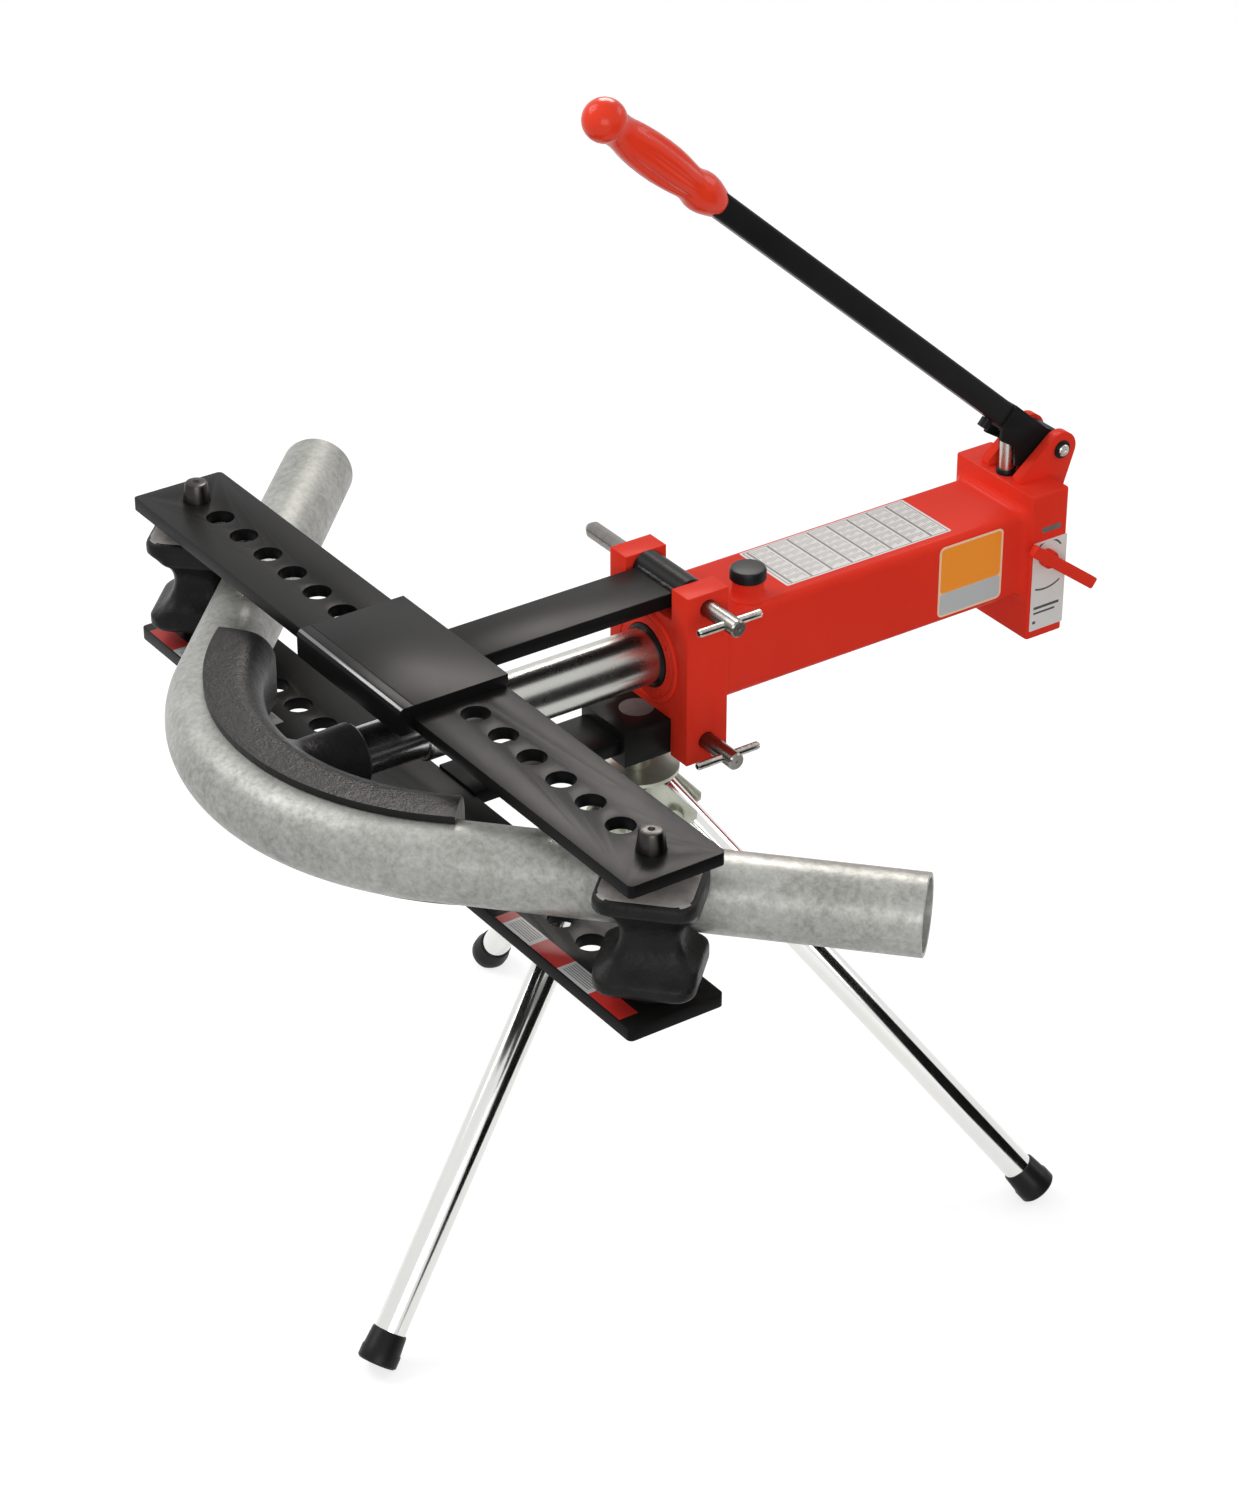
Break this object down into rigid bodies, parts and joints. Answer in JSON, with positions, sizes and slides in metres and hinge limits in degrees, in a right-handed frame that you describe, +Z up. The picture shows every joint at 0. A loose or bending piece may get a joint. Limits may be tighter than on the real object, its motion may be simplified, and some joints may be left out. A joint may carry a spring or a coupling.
{
  "type": "manual hydraulic tube bender",
  "caption": "Hand-pumped hydraulic tube bender on a folding tripod, with a long cylinder, swing-up wing plates, roller blocks, a curved former and a bent steel tube.",
  "frame": {"origin": "bottom centre of the whole machine's bounding box, on the floor under its feet, with the tripod opened, the ram fully out and the handle at rest", "axes": "+X along the wing plates towards the filler neck's side, +Y from the former back along the cylinder to the pump, +Z up"},
  "size_m": [0.863, 0.7889, 0.9478],
  "materials": {
    "red_paint": "glossy orange-red enamel",
    "charcoal_paint": "satin dark charcoal paint",
    "black_paint": "satin black paint",
    "cast_black": "black finished rough casting",
    "cast_grey": "dark rough casting",
    "galvanised": "mottled galvanised steel",
    "chrome": "polished",
    "zinc": "zinc plated, satin",
    "steel": "bare turned steel",
    "seal_rubber": "smooth black",
    "foot_rubber": "matt black",
    "cap_plastic": "matt black",
    "grip_plastic": "glossy orange-red"
  },
  "bodies": {
    "frame": {"housing": "red_paint", "liner": "steel", "flange": "red_paint", "gland": "red_paint", "wiper": "seal_rubber", "filler_neck": "red_paint", "lower_wing": "charcoal_paint", "lower_saddle": "charcoal_paint", "lower_arm": "charcoal_paint", "lower_block": "charcoal_paint", "pump_block": "red_paint", "pump_gland": "seal_rubber", "pump_lug_left": "red_paint", "pump_lug_right": "red_paint", "pivot_bolt": "zinc", "tripod_stud": "zinc", "tripod_spacer": "zinc", "tripod_hub": "zinc", "tripod_nut": "zinc", "leg_channel_1": "zinc", "leg_channel_2": "zinc", "leg_channel_3": "zinc", "leg_bolt_1": "zinc", "leg_bolt_2": "zinc", "leg_bolt_3": "zinc"},
    "ram_unit": {"ram": "chrome", "ram_nose": "steel", "piston": "steel", "piston_seal": "seal_rubber", "former": "cast_black", "bent_tube": "galvanised"},
    "upper_frame": {"upper_wing": "charcoal_paint", "upper_saddle": "charcoal_paint", "upper_arm": "charcoal_paint", "upper_barrel": "charcoal_paint"},
    "upper_pin_unit": {"upper_pin": "steel", "upper_pin_bar": "zinc"},
    "lower_pin_unit": {"lower_pin": "steel", "lower_pin_bar": "zinc"},
    "roller_right_unit": {"roller_right": "cast_grey", "roller_pin_right": "steel"},
    "roller_left_unit": {"roller_left": "cast_grey", "roller_pin_left": "steel"},
    "handle": {"handle_socket": "black_paint", "handle_tube": "black_paint", "handle_grip": "grip_plastic", "handle_screw": "cap_plastic"},
    "pump_plunger": {"plunger": "chrome", "plunger_pin": "steel"},
    "valve": {"valve_spindle": "steel", "valve_lever": "red_paint"},
    "cap": {"filler_cap": "cap_plastic"},
    "leg_unit_1": {"leg_1": "chrome", "foot_1": "foot_rubber"},
    "leg_unit_2": {"leg_2": "chrome", "foot_2": "foot_rubber"},
    "leg_unit_3": {"leg_3": "chrome", "foot_3": "foot_rubber"}
  },
  "joints": [
    {"name": "ram_slide", "type": "slide", "parent": "frame", "child": "ram_unit", "axis": [0, 1, 0], "range_m": [0, 0.22]},
    {"name": "upper_frame_swing", "type": "hinge", "parent": "frame", "child": "upper_frame", "pos_m": [0, 0.01203, 0.541], "axis": [-1, 0, 0], "range_deg": [0, 60]},
    {"name": "upper_pin_slide", "type": "slide", "parent": "frame", "child": "upper_pin_unit", "axis": [1, 0, 0], "range_m": [0, 0.175]},
    {"name": "lower_pin_slide", "type": "slide", "parent": "frame", "child": "lower_pin_unit", "axis": [1, 0, 0], "range_m": [0, 0.175]},
    {"name": "roller_right_turn", "type": "hinge", "parent": "frame", "child": "roller_right_unit", "pos_m": [0.31365, -0.22297, 0.483], "axis": [0, 0, 1], "range_deg": [-43.8, 0]},
    {"name": "roller_left_turn", "type": "hinge", "parent": "frame", "child": "roller_left_unit", "pos_m": [-0.31365, -0.22297, 0.483], "axis": [0, 0, 1], "range_deg": [0, 43.8]},
    {"name": "handle_swing", "type": "hinge", "parent": "frame", "child": "handle", "pos_m": [0, 0.38003, 0.559], "axis": [-1, 0, 0], "range_deg": [-8, 22]},
    {"name": "plunger_slide", "type": "slide", "parent": "frame", "child": "pump_plunger", "axis": [0, 0, 1], "range_m": [-0.007, 0.0189]},
    {"name": "valve_turn", "type": "hinge", "parent": "frame", "child": "valve", "pos_m": [0.06, 0.34803, 0.482], "axis": [1, 0, 0], "range_deg": [0, 90]},
    {"name": "cap_turn", "type": "hinge", "parent": "frame", "child": "cap", "pos_m": [0.0235, 0.07003, 0.541], "axis": [0, 0, 1], "range_deg": [0, 180]},
    {"name": "leg_1_fold", "type": "hinge", "parent": "frame", "child": "leg_unit_1", "pos_m": [0.01028, -0.04885, 0.35371], "axis": [0.9494, 0.314, 0], "range_deg": [0, 35]},
    {"name": "leg_2_fold", "type": "hinge", "parent": "frame", "child": "leg_unit_2", "pos_m": [0.02178, 0.00667, 0.35371], "axis": [-0.7466, 0.6652, 0], "range_deg": [0, 35]},
    {"name": "leg_3_fold", "type": "hinge", "parent": "frame", "child": "leg_unit_3", "pos_m": [-0.03206, -0.01113, 0.35371], "axis": [-0.2028, -0.9792, 0], "range_deg": [0, 35]}
  ],
  "couplings": [
    {"joint": "roller_right_turn", "follows": "ram_slide", "rad_per_m": -3.467},
    {"joint": "roller_left_turn", "follows": "ram_slide", "rad_per_m": 3.467},
    {"joint": "plunger_slide", "follows": "handle_swing", "m_per_rad": 0.0487}
  ]
}
